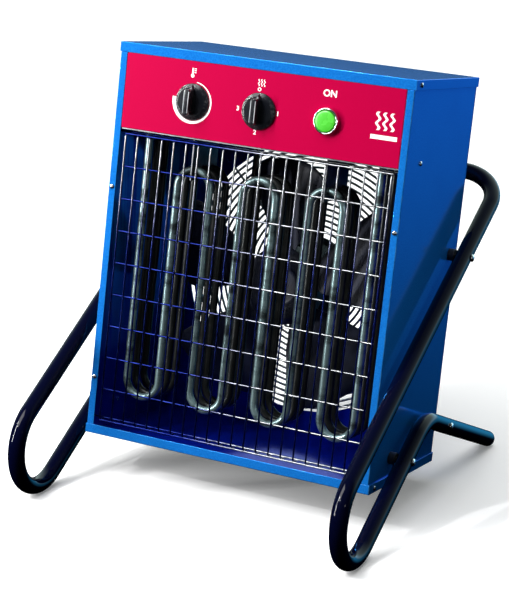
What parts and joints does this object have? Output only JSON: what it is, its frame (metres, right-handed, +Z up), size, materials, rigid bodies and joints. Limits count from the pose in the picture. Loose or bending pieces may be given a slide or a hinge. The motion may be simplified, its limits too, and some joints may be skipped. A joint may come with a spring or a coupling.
{
  "type": "forced air heater",
  "caption": "Portable forced air heater: blue sheet steel casing with a control panel, wire grille, tubular elements and fan, on a bent tube stand and handle.",
  "frame": {"origin": "centre of the footprint's box, on the floor that the stand rests on", "axes": "+Z up, -Y towards the front grille, +X to the right as seen from the front; the casing leans back about X"},
  "size_m": [0.4074, 0.477, 0.4922],
  "materials": {
    "casing_paint": "blue powder paint, semi-gloss, fine orange peel",
    "fascia_paint": "crimson paint, semi-gloss, with white printed symbols",
    "zinc_steel": "zinc plated sheet",
    "knob_plastic": "black moulded plastic",
    "switch_plastic": "grey moulded plastic",
    "button_plastic": "translucent green plastic",
    "bezel_chrome": "bright chrome",
    "terminal_plastic": "cream moulded plastic",
    "black_plastic": "black moulded plastic",
    "sensor_metal": "drawn tube",
    "grille_wire": "bright plated welded wire",
    "element_steel": "dark tubular sheath, heat stained",
    "fan_metal": "cast blades and hub, dark finish",
    "shaft_steel": "ground steel",
    "motor_paint": "dark motor enamel",
    "tube_paint": "high gloss blue-black enamel",
    "spacer_plastic": "black plastic",
    "plug_rubber": "black rubber end plug",
    "screw_steel": "bright plated steel"
  },
  "bodies": {
    "casing": {"top_cover": "casing_paint", "bottom_cover": "casing_paint", "left_side_panel": "casing_paint", "right_side_panel": "casing_paint", "rear_panel": "casing_paint", "control_fascia": "fascia_paint", "control_box_floor": "zinc_steel", "thermostat_body": "switch_plastic", "selector_switch_body": "switch_plastic", "start_button_bezel": "bezel_chrome", "start_contact_block": "switch_plastic", "contactor": "terminal_plastic", "terminal_block": "terminal_plastic", "overheat_cutout": "black_plastic", "thermostat_sensor": "sensor_metal", "cable_gland": "black_plastic", "front_grille": "grille_wire", "heating_element_front": "element_steel", "heating_element_middle": "element_steel", "heating_element_rear": "element_steel", "left_element_hanger": "zinc_steel", "right_element_hanger": "zinc_steel", "fan_motor": "motor_paint", "rear_fan_guard": "grille_wire", "stand_frame": "tube_paint", "left_upper_spacer": "spacer_plastic", "left_upper_bolt": "screw_steel", "left_lower_spacer": "spacer_plastic", "left_lower_bolt": "screw_steel", "left_tail_spacer": "spacer_plastic", "left_tail_bolt": "screw_steel", "right_upper_spacer": "spacer_plastic", "right_upper_bolt": "screw_steel", "right_lower_spacer": "spacer_plastic", "right_lower_bolt": "screw_steel", "right_tail_spacer": "spacer_plastic", "right_tail_bolt": "screw_steel", "left_tail_plug": "plug_rubber", "right_tail_plug": "plug_rubber", "left_lower_flange_screw": "screw_steel", "left_upper_flange_screw": "screw_steel", "right_lower_flange_screw": "screw_steel", "right_upper_flange_screw": "screw_steel", "left_lid_screw": "screw_steel", "left_base_screw": "screw_steel", "left_floor_screw": "screw_steel", "right_lid_screw": "screw_steel", "right_base_screw": "screw_steel", "right_floor_screw": "screw_steel", "upper_right_guard_screw": "screw_steel", "upper_left_guard_screw": "screw_steel", "lower_left_guard_screw": "screw_steel", "lower_right_guard_screw": "screw_steel"},
    "fan": {"fan_impeller": "fan_metal", "motor_shaft": "shaft_steel"},
    "thermostat_knob": {"thermostat_knob": "knob_plastic"},
    "selector_knob": {"selector_knob": "knob_plastic"},
    "start_button": {"start_button_cap": "button_plastic"}
  },
  "joints": [
    {"name": "fan_spin", "type": "hinge", "parent": "casing", "child": "fan", "pos_m": [0, 0.02958, 0.22216], "axis": [0, 0.9912, -0.132], "continuous": true},
    {"name": "thermostat_turn", "type": "hinge", "parent": "casing", "child": "thermostat_knob", "pos_m": [-0.08, -0.06271, 0.43818], "axis": [0, 0.9912, -0.132], "range_deg": [0, 275]},
    {"name": "selector_turn", "type": "hinge", "parent": "casing", "child": "selector_knob", "pos_m": [0, -0.06271, 0.43818], "axis": [0, 0.9912, -0.132], "range_deg": [0, 270]},
    {"name": "start_button_press", "type": "slide", "parent": "casing", "child": "start_button", "axis": [0, 0.9912, -0.132], "range_m": [0, 0.0025], "stiffness_N_per_m": 400, "springref_m": -0.001}
  ]
}
